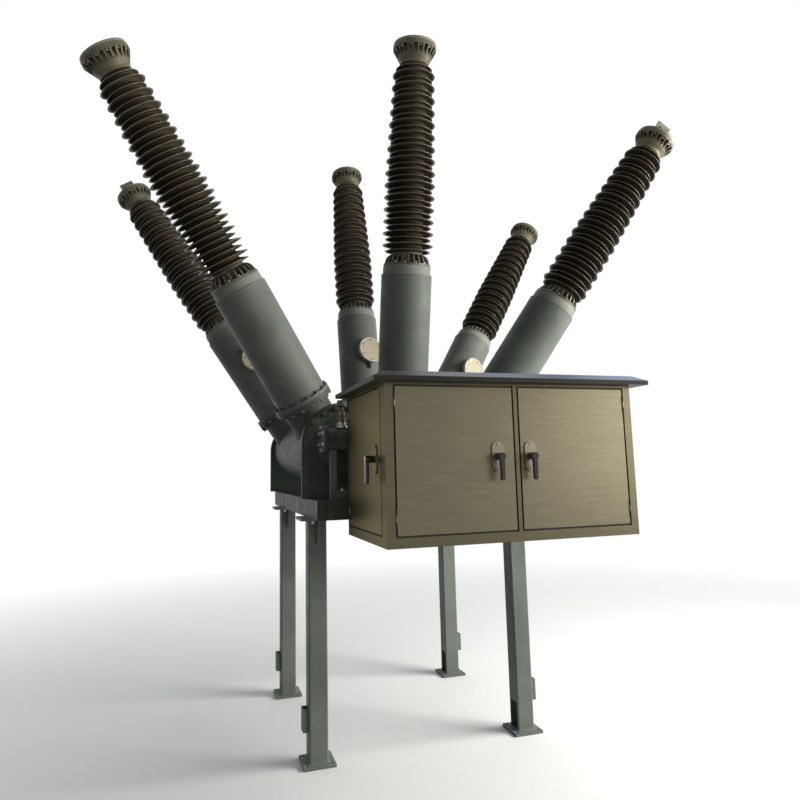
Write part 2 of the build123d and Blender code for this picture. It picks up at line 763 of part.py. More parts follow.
# Handles: a round-ended plate on each door, and a lever on a hub that turns over it
handle_insets = {"front_left_door": left_handle_inset, "front_right_door": right_handle_inset,
                 "side_door": side_handle_inset}
for name, inset in handle_insets.items():
    plane = door_planes[name]
    place = plane.origin - plane.x_dir * (hinge_ends[name] * (door_widths[name] / 2 - inset))
    spot = Plane(origin=(place.X, place.Y, door_top - handle_drop), x_dir=plane.x_dir, z_dir=plane.z_dir)
    with BuildPart() as handle_plate:
        with BuildSketch(spot):
            SlotOverall(plate_height, plate_width, rotation=90)
        extrude(amount=plate_thickness)
    save(handle_plate.part, name.replace("door", "handle_plate"))
    hub_start = plate_thickness + seat_clearance
    with BuildPart() as handle:
        with BuildSketch(spot.offset(hub_start)):
            Circle(hub_radius)
        extrude(amount=hub_length)
        with BuildSketch(spot.offset(hub_start + hub_length - lever_thickness)):
            Circle(lever_head_radius)
            with Locations((0, -lever_length)):
                Circle(lever_end_radius)
            make_hull()
        extrude(amount=lever_thickness)
    save(handle.part, name.replace("door", "handle"))

print(len(made), "nodes")
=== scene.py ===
from math import cos, pi, radians, sin

import bpy
import numpy as np
from mathutils import Matrix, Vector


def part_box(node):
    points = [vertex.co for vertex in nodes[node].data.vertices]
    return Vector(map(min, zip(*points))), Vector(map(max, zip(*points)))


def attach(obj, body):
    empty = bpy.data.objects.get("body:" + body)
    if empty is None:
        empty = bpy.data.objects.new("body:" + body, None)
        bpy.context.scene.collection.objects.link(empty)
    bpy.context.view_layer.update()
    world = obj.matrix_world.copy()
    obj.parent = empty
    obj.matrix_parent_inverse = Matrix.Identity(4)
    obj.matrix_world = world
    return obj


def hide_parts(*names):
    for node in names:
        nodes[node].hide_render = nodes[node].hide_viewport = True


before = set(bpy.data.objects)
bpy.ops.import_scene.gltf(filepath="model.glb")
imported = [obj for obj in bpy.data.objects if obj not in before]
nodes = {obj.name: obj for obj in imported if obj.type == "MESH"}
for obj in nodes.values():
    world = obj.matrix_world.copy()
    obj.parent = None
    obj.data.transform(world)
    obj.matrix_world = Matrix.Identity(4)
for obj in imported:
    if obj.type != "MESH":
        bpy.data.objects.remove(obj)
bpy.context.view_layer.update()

# Foot plates: flame-cut steel squares welded under the legs, with an anchor hole at each corner.
# They and the whole stand carry one coat of grey-green machine paint.
STAND_PAINT = (0.182, 0.208, 0.182, 1)
STAND_PAINT_WORN = (0.140, 0.162, 0.140, 1)
PAINT_DUST = (0.32, 0.32, 0.28, 1)


def new_finish(name, roughness, metal=0.0):
    """Node material with its shader's plain values set; gives the material, its tree and its shader."""
    material = bpy.data.materials.new(name)
    material.use_nodes = True
    shader = material.node_tree.nodes["Principled BSDF"]
    shader.inputs["Roughness"].default_value = roughness
    shader.inputs["Metallic"].default_value = metal
    return material, material.node_tree, shader


def speckle(tree, scale, stretch=(1, 1, 1), detail=4.0, rough=0.55):
    """Noise from 0 to 1 over the piece's own coordinates; a small stretch draws it out along that axis."""
    place = tree.nodes.new("ShaderNodeTexCoord")
    mapping = tree.nodes.new("ShaderNodeMapping")
    mapping.inputs["Scale"].default_value = stretch
    noise = tree.nodes.new("ShaderNodeTexNoise")
    noise.inputs["Scale"].default_value = scale
    noise.inputs["Detail"].default_value = detail
    noise.inputs["Roughness"].default_value = rough
    tree.links.new(place.outputs["Object"], mapping.inputs["Vector"])
    tree.links.new(mapping.outputs["Vector"], noise.inputs["Vector"])
    return noise.outputs["Fac"]


def between(tree, value, low, high, bottom=0.0, top=1.0):
    """A value carried from the range low to high onto the range bottom to top, and held there."""
    node = tree.nodes.new("ShaderNodeMapRange")
    tree.links.new(value, node.inputs["Value"])
    for socket, number in (("From Min", low), ("From Max", high), ("To Min", bottom), ("To Max", top)):
        node.inputs[socket].default_value = number
    return node.outputs["Result"]


def blended(tree, share, first, second):
    """Colour between two others, each a socket or a fixed colour."""
    node = tree.nodes.new("ShaderNodeMix")
    node.data_type = "RGBA"
    tree.links.new(share, node.inputs[0])
    for socket, colour in ((node.inputs[6], first), (node.inputs[7], second)):
        if isinstance(colour, tuple):
            socket.default_value = colour
        else:
            tree.links.new(colour, socket)
    return node.outputs[2]


def raised(tree, shader, height, strength, depth):
    """Relief of a given depth in metres on the shader, from a height of 0 to 1, over any relief it has."""
    node = tree.nodes.new("ShaderNodeBump")
    node.inputs["Strength"].default_value = strength
    node.inputs["Distance"].default_value = depth
    tree.links.new(height, node.inputs["Height"])
    before = shader.inputs["Normal"].links
    if before:
        tree.links.new(before[0].from_socket, node.inputs["Normal"])
    tree.links.new(node.outputs["Normal"], shader.inputs["Normal"])


def brushed_paint(name, colour, worn, dust):
    """Sprayed paint: clouds of a worn tone, runs of dust drawn out downwards, and an orange-peel skin."""
    material, tree, shader = new_finish(name, 0.45)
    shader.inputs["Specular IOR Level"].default_value = 0.08
    clouds = between(tree, speckle(tree, 3.2), 0.42, 0.66)
    runs = between(tree, speckle(tree, 26, (1, 1, 0.07)), 0.58, 0.80, 0, 0.20)
    grit = between(tree, speckle(tree, 240, detail=2), 0.64, 0.74, 0, 0.5)
    tone = blended(tree, clouds, colour, worn)
    tone = blended(tree, runs, tone, dust)
    tone = blended(tree, grit, tone, worn)
    tree.links.new(tone, shader.inputs["Base Color"])
    gloss = between(tree, speckle(tree, 14), 0.35, 0.7, 0.40, 0.60)
    tree.links.new(gloss, shader.inputs["Roughness"])
    raised(tree, shader, speckle(tree, 420, detail=2), 0.16, 0.0006)
    raised(tree, shader, speckle(tree, 30), 0.12, 0.0015)
    return material


def dress(material, *names):
    """Puts a finish on CAD nodes, in the slots that they have."""
    for name in names:
        for place in nodes[name].material_slots:
            place.material = material


stand_paint = brushed_paint("stand_paint", STAND_PAINT, STAND_PAINT_WORN, PAINT_DUST)
dress(stand_paint, "foot_plates")

# Legs: square steel tube with rounded corners, a hand hole at the foot, and a strap pocket for earthing.
# Each is welded all round to its foot plate and to its head plate with a fillet bead.
dress(stand_paint, *[n for n in nodes if n.startswith("leg_")], "earth_pockets")
LEG_CORNER, LEG_BEAD = 0.008, 0.006
leg_low, leg_high = np.array(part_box("leg_rear_right"))
leg_x, leg_y = (leg_low + leg_high)[:2] / 2
leg_half = (leg_high - leg_low)[0] / 2


def grid_mesh(name, points, ring=False, sharp=35):
    """Mesh over copies of a grid of points (copies, rows, columns, xyz). Columns close on themselves; rows
    do too where ring is set, and otherwise the first and the last row are each shut by one flat face."""
    copies, rows, columns = points.shape[:3]
    index = np.arange(copies * rows * columns).reshape(copies, rows, columns)
    beside = np.roll(index, -1, axis=2)
    if ring:
        corners = (index, beside, np.roll(beside, -1, axis=1), np.roll(index, -1, axis=1))
    else:
        corners = (index[:, :-1], beside[:, :-1], beside[:, 1:], index[:, 1:])
    loops = np.stack(corners, axis=-1).reshape(-1)
    sizes = np.full(len(loops) // 4, 4)
    if not ring:
        ends = np.concatenate([index[:, 0, ::-1], index[:, -1]])
        loops = np.concatenate([loops, ends.reshape(-1)])
        sizes = np.concatenate([sizes, np.full(len(ends), columns)])
    mesh = bpy.data.meshes.new(name)
    mesh.vertices.add(points.size // 3)
    mesh.vertices.foreach_set("co", points.astype(np.float32).reshape(-1))
    mesh.loops.add(len(loops))
    mesh.loops.foreach_set("vertex_index", loops.astype(np.int32))
    mesh.polygons.add(len(sizes))
    mesh.polygons.foreach_set("loop_start", (np.cumsum(sizes) - sizes).astype(np.int32))
    mesh.update(calc_edges=True)
    mesh.polygons.foreach_set("use_smooth", np.ones(len(sizes), dtype=bool))
    mesh.set_sharp_from_angle(angle=radians(sharp))
    return mesh


def fit_piece(name, points, material, body="breaker", ring=False, sharp=35):
    """Piece made from grids of points, which rides on a body and takes the given finish in its one slot."""
    mesh = grid_mesh(name, points, ring, sharp)
    piece = bpy.data.objects.new(name, mesh)
    bpy.context.scene.collection.objects.link(piece)
    mesh.materials.append(material)
    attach(piece, body)
    return piece


def bead_along(paths, radius, columns=8, closed=True):
    """Weld bead: a small circle carried along paths (copies, rows, xyz). The circle lies across the path's
    own direction, and its radius swells and shrinks a little along the path as a hand-laid bead does."""
    if closed:
        along = np.roll(paths, -1, axis=1) - np.roll(paths, 1, axis=1)
    else:
        along = np.gradient(paths, axis=1)
    along /= np.linalg.norm(along, axis=-1, keepdims=True)
    lead = np.where(np.abs(along[..., 2:]) > 0.9, np.array([1.0, 0, 0]), np.array([0, 0, 1.0]))
    side = np.cross(along, lead)
    side /= np.linalg.norm(side, axis=-1, keepdims=True)
    over = np.cross(along, side)
    turn = np.arange(columns) * 2 * pi / columns
    swell = radius * (1 + 0.12 * np.sin(np.arange(paths.shape[1]) * 1.7))[None, :, None, None]
    circle = np.cos(turn)[:, None] * side[:, :, None] + np.sin(turn)[:, None] * over[:, :, None]
    return paths[:, :, None] + swell * circle


def rounded_square(half, corner, steps):
    """Outline of a square with rounded corners: four quarter circles set in from the corners, joined."""
    turn = (np.arange(4)[:, None] + np.linspace(0, 1, steps)) * pi / 2
    centre = np.array([[1, 1], [-1, 1], [-1, -1], [1, -1]]) * (half - corner)
    return (centre[:, None] + corner * np.stack([np.cos(turn), np.sin(turn)], axis=-1)).reshape(-1, 2)


outline = rounded_square(leg_half, LEG_CORNER, 7)
leg_places = np.array([(x, y) for x in (-leg_x, leg_x) for y in (-leg_y, leg_y)])
rings = [np.concatenate([outline + place, np.full((len(outline), 1), z)], axis=1)
         for place in leg_places for z in (leg_low[2], leg_high[2])]
fit_piece("leg_welds", bead_along(np.array(rings), LEG_BEAD), stand_paint, ring=True)

# Leg heads: square plates with a gusset before and behind each leg, welded on and bolted up to the frame.
# The bolts are zinc-plated hexagon bolts with a plain washer, two at each leg.
ZINC = (0.27, 0.27, 0.25, 1)
ZINC_DULL = (0.14, 0.14, 0.125, 1)
HEAD_BOLT_X, HEAD_BOLT_Y, HEAD_BOLT = 0.626, 0.072, 0.024
CHANNEL_FLANGE = 0.0085


def plated_steel(name, bright, dull, roughness):
    """Plated metal: bright with dull clouds and a fine grain."""
    material, tree, shader = new_finish(name, roughness, 0.85)
    clouds = between(tree, speckle(tree, 60), 0.4, 0.65)
    tree.links.new(blended(tree, clouds, bright, dull), shader.inputs["Base Color"])
    gloss = between(tree, speckle(tree, 180), 0.3, 0.7, roughness * 0.8, roughness * 1.3)
    tree.links.new(gloss, shader.inputs["Roughness"])
    raised(tree, shader, speckle(tree, 900, detail=2), 0.1, 0.0003)
    return material


def bolt_points(origins, ups, across, head=None, washer=None):
    """Hexagon bolt heads on washers: five rings of twelve points, whose radius follows a circle on the
    washer and the chamfered top, and a hexagon, half its width over the cosine, on the head."""
    head = across * 0.62 if head is None else head
    washer = across * 0.62 if washer is None else washer
    turn = np.arange(12) * pi / 6
    hexagon = across / 2 / np.cos(turn % (pi / 3) - pi / 6)
    circle = np.ones(12)
    plate = across * 0.12
    radii = np.array([washer * circle, washer * circle, hexagon, hexagon, across * 0.46 * circle])
    heights = np.array([0, plate, plate, plate + head * 0.86, plate + head])
    origins = np.asarray(origins, dtype=float)
    ups = np.broadcast_to(np.asarray(ups, dtype=float), origins.shape)
    lead = np.where(np.abs(ups[:, 2:]) > 0.9, np.array([1.0, 0, 0]), np.array([0, 0, 1.0]))
    side = np.cross(lead, ups)
    side /= np.linalg.norm(side, axis=-1, keepdims=True)
    over = np.cross(ups, side)
    spokes = np.cos(turn)[:, None] * side[:, None] + np.sin(turn)[:, None] * over[:, None]
    return (origins[:, None, None] + radii[None, :, :, None] * spokes[:, None]
            + heights[None, :, None, None] * ups[:, None, None])


zinc = plated_steel("zinc_plate", ZINC, ZINC_DULL, 0.38)
frame_low, frame_high = np.array(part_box("frame_side_beams"))
spots = np.array([(sx * HEAD_BOLT_X, sy * leg_y + dy, 0) for sx in (-1, 1) for sy in (-1, 1)
                  for dy in (-HEAD_BOLT_Y, HEAD_BOLT_Y)])
below = bolt_points(spots + (0, 0, leg_high[2]), (0, 0, -1), HEAD_BOLT)
above = bolt_points(spots + (0, 0, frame_low[2] + CHANNEL_FLANGE), (0, 0, 1), HEAD_BOLT)
fit_piece("leg_head_bolts", np.concatenate([below, above]), zinc)

# Base frame: rolled steel channels, two long ones at the sides with end and cross channels welded between,
# with a bead down the web at each corner. Its paint is the stand's grey written darkest of the greys, as
# painted shade.
FRAME_GREY_SHADED = (0.060, 0.073, 0.058, 1)
FRAME_GREY_SHADED_WORN = (0.046, 0.056, 0.044, 1)
CORNER_BEAD = 0.004
frame_paint_shaded = brushed_paint("frame_paint_shaded", FRAME_GREY_SHADED, FRAME_GREY_SHADED_WORN, PAINT_DUST)
dress(frame_paint_shaded, "frame_side_beams", "frame_end_beams", "frame_cross_beams")
web_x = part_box("frame_end_beams")[1][0]
heights = np.linspace(frame_low[2] + CORNER_BEAD, frame_high[2] - CORNER_BEAD, 14)
runs = np.array([[(sx * web_x, y, z) for z in heights] for sx in (-1, 1)
                 for y in (frame_low[1] + CORNER_BEAD / 2, frame_high[1] - CORNER_BEAD / 2)])
fit_piece("frame_welds", bead_along(runs, CORNER_BEAD, closed=False), frame_paint_shaded)

# Tanks: rolled and welded aluminium shells, one to a phase, whose paint is the stand's grey written darker,
# as painted shade.
# Each carries two flanged nozzles on saddles; a bead follows the line where two round walls meet.
TANK_GREY_SHADED = (0.088, 0.104, 0.086, 1)
TANK_GREY_SHADED_WORN = (0.066, 0.078, 0.064, 1)
tank_paint_shaded = brushed_paint("tank_paint_shaded", TANK_GREY_SHADED, TANK_GREY_SHADED_WORN, PAINT_DUST)
dress(tank_paint_shaded, "tank_left", "tank_centre", "tank_right", "tank_nozzles")
LEAN, FAN, ROW_HALF = radians(11.2), radians(32.0), 0.430
NOZZLE_R, NOZZLE_END, FLANGE_T = 0.140, 0.326, 0.024
SADDLE_BEAD, SEAM_BEAD, SEAM_FROM, SEAM_TURN = 0.007, 0.004, 0.215, radians(192)
tank_low, tank_high = np.array(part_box("tank_right"))
phase_x, tank_z = ((tank_low + tank_high) / 2)[[0, 2]]
tank_r = (tank_high - tank_low)[0] / 2
middle_y = np.array(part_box("tank_nozzles"))[:, 1].mean()


def bushing_frames():
    """Seats of the six bushings: the points where their axes leave the tanks' axes, and for each the unit
    vectors across, beside and up the bushing, which leans along the tank and fans out from the middle."""
    phase, row = [v.reshape(-1) for v in np.meshgrid([-1, 0, 1], [-1, 1], indexing="ij")]
    turn = phase * FAN
    up = np.stack([cos(LEAN) * np.sin(turn), row * sin(LEAN), cos(LEAN) * np.cos(turn)], axis=-1)
    across = np.stack([np.cos(turn), 0 * turn, -np.sin(turn)], axis=-1)
    seats = np.stack([phase * phase_x, middle_y + row * ROW_HALF, 0 * turn + tank_z], axis=-1)
    return seats, np.stack([across, np.cross(up, across), up], axis=1), row


def spokes_round(axes, radius, turn):
    """Steps out from an axis to a circle round it: the radius times the cosine of the turn along the first
    vector and its sine along the second, for every set of axes and every turn."""
    return radius * (np.cos(turn)[:, None] * axes[:, None, 0] + np.sin(turn)[:, None] * axes[:, None, 1])


seats, axes, bushing_row = bushing_frames()
rim = spokes_round(axes, NOZZLE_R, np.linspace(0, 2 * pi, 96, endpoint=False))
up_xz = axes[:, 2][:, [0, 2]]
rim_xz = rim[..., [0, 2]]
# The nozzle's line seats + rim + reach x up meets the tank's wall where a reach^2 + 2 b reach + c is zero.
a = (up_xz ** 2).sum(-1)[:, None]
b = (rim_xz * up_xz[:, None]).sum(-1)
c = (rim_xz ** 2).sum(-1) - tank_r ** 2
reach = (-b + np.sqrt(b * b - a * c)) / a
saddle = seats[:, None] + rim + reach[..., None] * axes[:, None, 2]
fit_piece("nozzle_welds", bead_along(saddle, SADDLE_BEAD), tank_paint_shaded, ring=True)

way = np.linspace(SEAM_FROM, NOZZLE_END - FLANGE_T, 20)
seam_side = np.where(bushing_row < 0, SEAM_TURN, -SEAM_TURN)
wall = NOZZLE_R * (np.cos(seam_side)[:, None] * axes[:, 0] + np.sin(seam_side)[:, None] * axes[:, 1])
seam = (seats + wall)[:, None] + way[None, :, None] * axes[:, None, 2]
fit_piece("nozzle_seams", bead_along(seam, SEAM_BEAD, closed=False), tank_paint_shaded)

# Tank ends: thick plates shaped like a tombstone, welded to the shells and standing on the frame, and
# dished covers bolted over them with sixteen bolts each.
# The ends take the tanks' paint, darkened as painted shade.
dress(tank_paint_shaded, "tank_front_supports", "tank_rear_supports", "tank_front_covers", "tank_rear_covers")
COVER_T, COVER_RING, COVER_BOLT, SHELL_BEAD = 0.026, 0.194, 0.024, 0.006
front_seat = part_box("tank_front_covers")[1][1]
rear_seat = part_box("tank_rear_covers")[0][1]
tank_axes = np.array([(sx * phase_x, 0, tank_z) for sx in (-1, 0, 1)])


def upright_wheel(turn):
    """Unit circle that stands across the tanks: the cosine of the turn along X and its sine along Z."""
    return np.stack([np.cos(turn), 0 * turn, np.sin(turn)], axis=-1)


wheel = upright_wheel((np.arange(16) + 0.5) * pi / 8)
spots = (tank_axes[:, None] + COVER_RING * wheel).reshape(-1, 3)
front = bolt_points(spots + (0, front_seat - COVER_T, 0), (0, -1, 0), COVER_BOLT)
rear = bolt_points(spots + (0, rear_seat + COVER_T, 0), (0, 1, 0), COVER_BOLT)
fit_piece("cover_bolts", np.concatenate([front, rear]), tank_paint_shaded)

wheel = upright_wheel(np.linspace(0, 2 * pi, 80, endpoint=False))
paths = np.array([axis + tank_r * wheel + (0, y, 0) for axis in tank_axes
                  for y in (tank_low[1], tank_high[1])])
fit_piece("tank_welds", bead_along(paths, SHELL_BEAD), tank_paint_shaded, ring=True)

# Drive tube: a closed steel tube across the front of the tanks that works the three switches through a
# crank box on each cover. It stands on two posts with a bolted foot block.
# The tube and crank boxes take the tanks' paint, darkened as painted shade.
dress(tank_paint_shaded, "drive_tube", "crank_boxes")
POST_PAINT = (0.23, 0.255, 0.228, 1)
dress(brushed_paint("post_paint", POST_PAINT, STAND_PAINT_WORN, PAINT_DUST), "drive_posts")
END_RING, END_BOLT = 0.058, 0.017
FOOT_X, FOOT_HEIGHT, FOOT_BOLT = 0.496, 0.042, 0.019
tube_y = np.array(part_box("drive_posts"))[:, 1].mean()
tube_z = np.array(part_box("drive_tube"))[:, 2].mean()
tube_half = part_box("drive_tube")[1][0]
turn = (np.arange(6) + 0.5) * pi / 3
spots = np.stack([0 * turn, tube_y + END_RING * np.cos(turn), tube_z + END_RING * np.sin(turn)], axis=-1)
left = bolt_points(spots - (tube_half, 0, 0), (-1, 0, 0), END_BOLT)
right = bolt_points(spots + (tube_half, 0, 0), (1, 0, 0), END_BOLT)
foot_spots = [(sx * FOOT_X, tube_y, frame_high[2] + FOOT_HEIGHT) for sx in (-1, 1)]
feet = bolt_points(foot_spots, (0, 0, 1), FOOT_BOLT)
fit_piece("drive_bolts", np.concatenate([left, right, feet]), zinc)

# Gas valve: a turned brass body on a plated flange, with a stem and a black ribbed knob.
# Each is a turned outline; the knob's radius also rises and falls round its edge.
BRASS = (0.085, 0.070, 0.036, 1)
BRASS_DULL = (0.045, 0.038, 0.022, 1)
KNOB_BLACK = (0.012, 0.012, 0.013, 1)
KNOB_WORN = (0.030, 0.030, 0.030, 1)


def turned(outline, columns, ribs=0, depth=0.0):
    """Surface of revolution about Z: outline points (radius, height), and ribs that let the radius
    follow a cosine round the axis, by a share depth."""
    outline = np.asarray(outline, dtype=float)
    turn = np.arange(columns) * 2 * pi / columns
    swell = 1 + depth * np.cos(ribs * turn)
    flat = outline[:, :1] * swell
    return np.stack([flat * np.cos(turn), flat * np.sin(turn), outline[:, 1:] + 0 * flat], axis=-1)[None]


def moulded_black(name, roughness, dark, pale, grain, pores):
    """Moulded plastic or rubber: two dark tones in a fine grain, and pores in relief."""
    material, tree, shader = new_finish(name, roughness)
    tree.links.new(blended(tree, speckle(tree, grain), dark, pale), shader.inputs["Base Color"])
    raised(tree, shader, speckle(tree, pores), 0.2, 0.0004)
    return material


brass = plated_steel("dull_brass", BRASS, BRASS_DULL, 0.42)
knob_black = moulded_black("knob_black", 0.42, KNOB_BLACK, KNOB_WORN, 90, 700)
base = [(0.012, 0), (0.034, 0), (0.034, 0.012), (0.030, 0.016), (0.024, 0.018), (0.024, 0.030),
        (0.010, 0.030)]
body = [(0.014, 0.030), (0.020, 0.032), (0.020, 0.050), (0.0165, 0.053), (0.0165, 0.060), (0.020, 0.063),
        (0.020, 0.088), (0.016, 0.092), (0.009, 0.093), (0.009, 0.112), (0.004, 0.112)]
knob = [(0.006, 0.110), (0.019, 0.112), (0.0245, 0.117), (0.0245, 0.142), (0.019, 0.149), (0.006, 0.150)]
valve_low, valve_high = np.array(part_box("gas_valve"))
valve_foot = np.array([(valve_low[0] + valve_high[0]) / 2, tube_y, valve_low[2]])
for name, shape, finish in (("valve_base", turned(base, 32), zinc), ("valve_body", turned(body, 32), brass),
                            ("valve_knob", turned(knob, 48, 12, 0.035), knob_black)):
    piece = fit_piece(name, shape + valve_foot, finish)
    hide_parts("gas_valve")

# Transformer housings: painted steel cylinders round the current transformers, each bolted to its nozzle
# by a flange pair with a rubber gasket, and closed above by a paler machined ring.
# The housings' paint is the stand's grey written darker, as painted shade.
HOUSING_GREY_SHADED = (0.148, 0.163, 0.142, 1)
HOUSING_GREY_SHADED_WORN = (0.112, 0.125, 0.108, 1)
RUBBER = (0.012, 0.011, 0.010, 1)
RUBBER_WORN = (0.035, 0.032, 0.028, 1)
RING_GREY = (0.225, 0.230, 0.200, 1)
RING_GREY_WORN = (0.175, 0.180, 0.155, 1)
FLANGE_RING, FLANGE_BOLT, FLANGE_WASHER = 0.1665, 0.016, 0.009
GASKET_OUT, GASKET_IN, GASKET_HALF = 0.1764, 0.150, 0.0015
housing_paint_shaded = brushed_paint("housing_paint_shaded", HOUSING_GREY_SHADED, HOUSING_GREY_SHADED_WORN, PAINT_DUST)
dress(housing_paint_shaded, "front_ct_housings", "rear_ct_housings")


def set_on(shape, origins, axes):
    """Copies of a shape about Z (1, rows, columns, xyz), with its X, Y and Z laid along each set of axes."""
    return np.einsum("nrci,bij->brcj", shape, axes) + origins[:, None, None]


def ring_of_bolts(origins, axes, radius, turn, rise, way=1, **sizes):
    """Bolt heads on a circle round each third axis, at a rise along it, pointing along it or against it."""
    spots = origins[:, None] + spokes_round(axes, radius, turn) + rise * axes[:, None, 2]
    return bolt_points(spots.reshape(-1, 3), way * np.repeat(axes[:, 2], len(turn), axis=0), **sizes)


turn = np.arange(16) * pi / 8
flange_bolts = [ring_of_bolts(seats, axes, FLANGE_RING, turn, NOZZLE_END + way * FLANGE_T, way,
                              across=FLANGE_BOLT, washer=FLANGE_WASHER) for way in (-1, 1)]
fit_piece("flange_bolts", np.concatenate(flange_bolts), housing_paint_shaded)

gasket_rubber = moulded_black("gasket_rubber", 0.7, RUBBER, RUBBER_WORN, 120, 500)
gasket_low, gasket_high = NOZZLE_END - GASKET_HALF, NOZZLE_END + GASKET_HALF
gasket = turned([(GASKET_IN, gasket_low), (GASKET_OUT, gasket_low), (GASKET_OUT, gasket_high),
                 (GASKET_IN, gasket_high)], 96)
fit_piece("flange_gaskets", set_on(gasket, seats, axes), gasket_rubber, ring=True)

ring_paint = brushed_paint("ring_paint", RING_GREY, RING_GREY_WORN, PAINT_DUST)
band = turned([(0.140, 1.0565), (0.1576, 1.0565), (0.1576, 1.0610), (0.1480, 1.0635), (0.1476, 1.1105),
               (0.1462, 1.1138), (0.140, 1.1138)], 120)
fit_piece("adapter_bands", set_on(band, seats, axes), ring_paint, ring=True)

# Terminal boxes: round cast boxes on the inner side of the housings, with a cream cover held by screws,
# and a cable gland of pale and black plastic under each.
CREAM = (0.47, 0.425, 0.312, 1)
CREAM_WORN = (0.39, 0.350, 0.252, 1)
CREAM_DUST = (0.54, 0.505, 0.40, 1)
CREAM_LIP = (0.58, 0.55, 0.445, 1)
PALE_NUT = (0.50, 0.50, 0.46, 1)
PALE_NUT_WORN = (0.38, 0.38, 0.34, 1)
BOX_UP, BOX_CLOCK, BOX_FACE = 0.741, radians(14), 0.202
SCREW_RING, BOX_SCREW, BOX_SCREW_HEAD = 0.080, 0.010, 0.004
GLAND_OUT = 0.1695
dress(brushed_paint("cream_coat", CREAM, CREAM_WORN, CREAM_DUST), "ct_boxes")
box_out = sin(BOX_CLOCK) * axes[:, 0] - bushing_row[:, None] * cos(BOX_CLOCK) * axes[:, 1]
box_axes = np.stack([np.cross(axes[:, 2], box_out), axes[:, 2], box_out], axis=1)
box_seats = seats + BOX_UP * axes[:, 2]
lip = turned([(0.0885, 0.2015), (0.0975, 0.2000), (0.0992, 0.1965), (0.1004, 0.1965), (0.1000, 0.2015),
              (0.0975, 0.2042), (0.0920, 0.2045)], 96)
lip_coat = brushed_paint("cream_lip", CREAM_LIP, CREAM, PAINT_DUST)
fit_piece("box_lips", set_on(lip, box_seats, box_axes), lip_coat, ring=True)
box_screws = ring_of_bolts(box_seats, box_axes, SCREW_RING, (np.arange(6) + 0.5) * pi / 3, BOX_FACE,
                           across=BOX_SCREW, head=BOX_SCREW_HEAD)
fit_piece("box_screws", box_screws, zinc)

pale_coat = brushed_paint("pale_coat", PALE_NUT, PALE_NUT_WORN, PAINT_DUST)
gland_axes = np.stack([box_axes[:, 0], box_out, -axes[:, 2]], axis=1)
gland_seats = box_seats + GLAND_OUT * box_out
black_gland = [(0.006, 0.086), (0.0100, 0.086), (0.0110, 0.092), (0.0110, 0.128), (0.0085, 0.140),
               (0.004, 0.141)]
pale_nut = [(0.006, 0.066), (0.0112, 0.066), (0.0112, 0.084), (0.0095, 0.088), (0.006, 0.088)]
for name, outline, finish in (("gland_bodies", black_gland, knob_black),
                              ("gland_nuts", pale_nut, pale_coat)):
    fit_piece(name, set_on(turned(outline, 18), gland_seats, gland_axes), finish)

# Lower fittings: sand-cast aluminium flanges with a sleeve and twenty-four gussets, cemented to the
# porcelain and bolted to the ring below in every other gap between the gussets.
CAST_GREY = (0.130, 0.120, 0.088, 1)
CAST_DARK = (0.064, 0.057, 0.038, 1)
FITTING_RING, FITTING_TOP, FITTING_BOLT = 0.122, 1.128, 0.017


def sand_cast(name, light, dark):
    """Cast metal left rough: two tones in clouds, dark specks in the pores, and a grainy skin."""
    material, tree, shader = new_finish(name, 0.55, 0.12)
    shader.inputs["Specular IOR Level"].default_value = 0.3
    tone = blended(tree, between(tree, speckle(tree, 11), 0.4, 0.65), light, dark)
    tone = blended(tree, between(tree, speckle(tree, 160, detail=3), 0.58, 0.7, 0, 0.7), tone, dark)
    tree.links.new(tone, shader.inputs["Base Color"])
    tree.links.new(between(tree, speckle(tree, 40), 0.3, 0.7, 0.42, 0.68), shader.inputs["Roughness"])
    raised(tree, shader, speckle(tree, 330, detail=5), 0.35, 0.0012)
    return material


dress(sand_cast("cast_fitting", CAST_GREY, CAST_DARK), "lower_fittings")
fitting_bolts = ring_of_bolts(seats, axes, FITTING_RING, (np.arange(12) + 0.25) * pi / 6, FITTING_TOP,
                              across=FITTING_BOLT)
fit_piece("fitting_bolts", fitting_bolts, zinc)

# Porcelains: brown-glazed hollow insulators, turned with a small and a large shed in turn, fired and
# glazed all over; dirt dulls the glaze towards the core, and it shines at the edges of the sheds, where
# a paler brown on the rims is a painted highlight.
GLAZE = (0.062, 0.052, 0.034, 1)
GLAZE_PALE = (0.082, 0.067, 0.044, 1)
GLAZE_SPECK = (0.032, 0.026, 0.017, 1)
GLAZE_RIM_HIGHLIGHT = (0.200, 0.165, 0.120, 1)
PORCELAIN_LOW, PORCELAIN_HIGH, SHEDS, SHED_COLUMNS = 1.194, 2.332, 31, 72
CORE_LOW, CORE_NARROWS, RIM_LOW, RIM_NARROWS = 0.092, 0.008, 0.157, 0.031
SMALL_SHED, NARROW_FROM = 0.016, 0.38
SHED_STEP = np.array([(0.00, 0.0020), (0.10, 0.0030), (0.50, 0.0036), (0.84, 0.0016), (0.94, 0.0004),
                      (0.985, 0.0008), (1.000, 0.0022), (0.985, 0.0038), (0.90, 0.0062), (0.50, 0.0134),
                      (0.14, 0.0200), (0.02, 0.0245)])


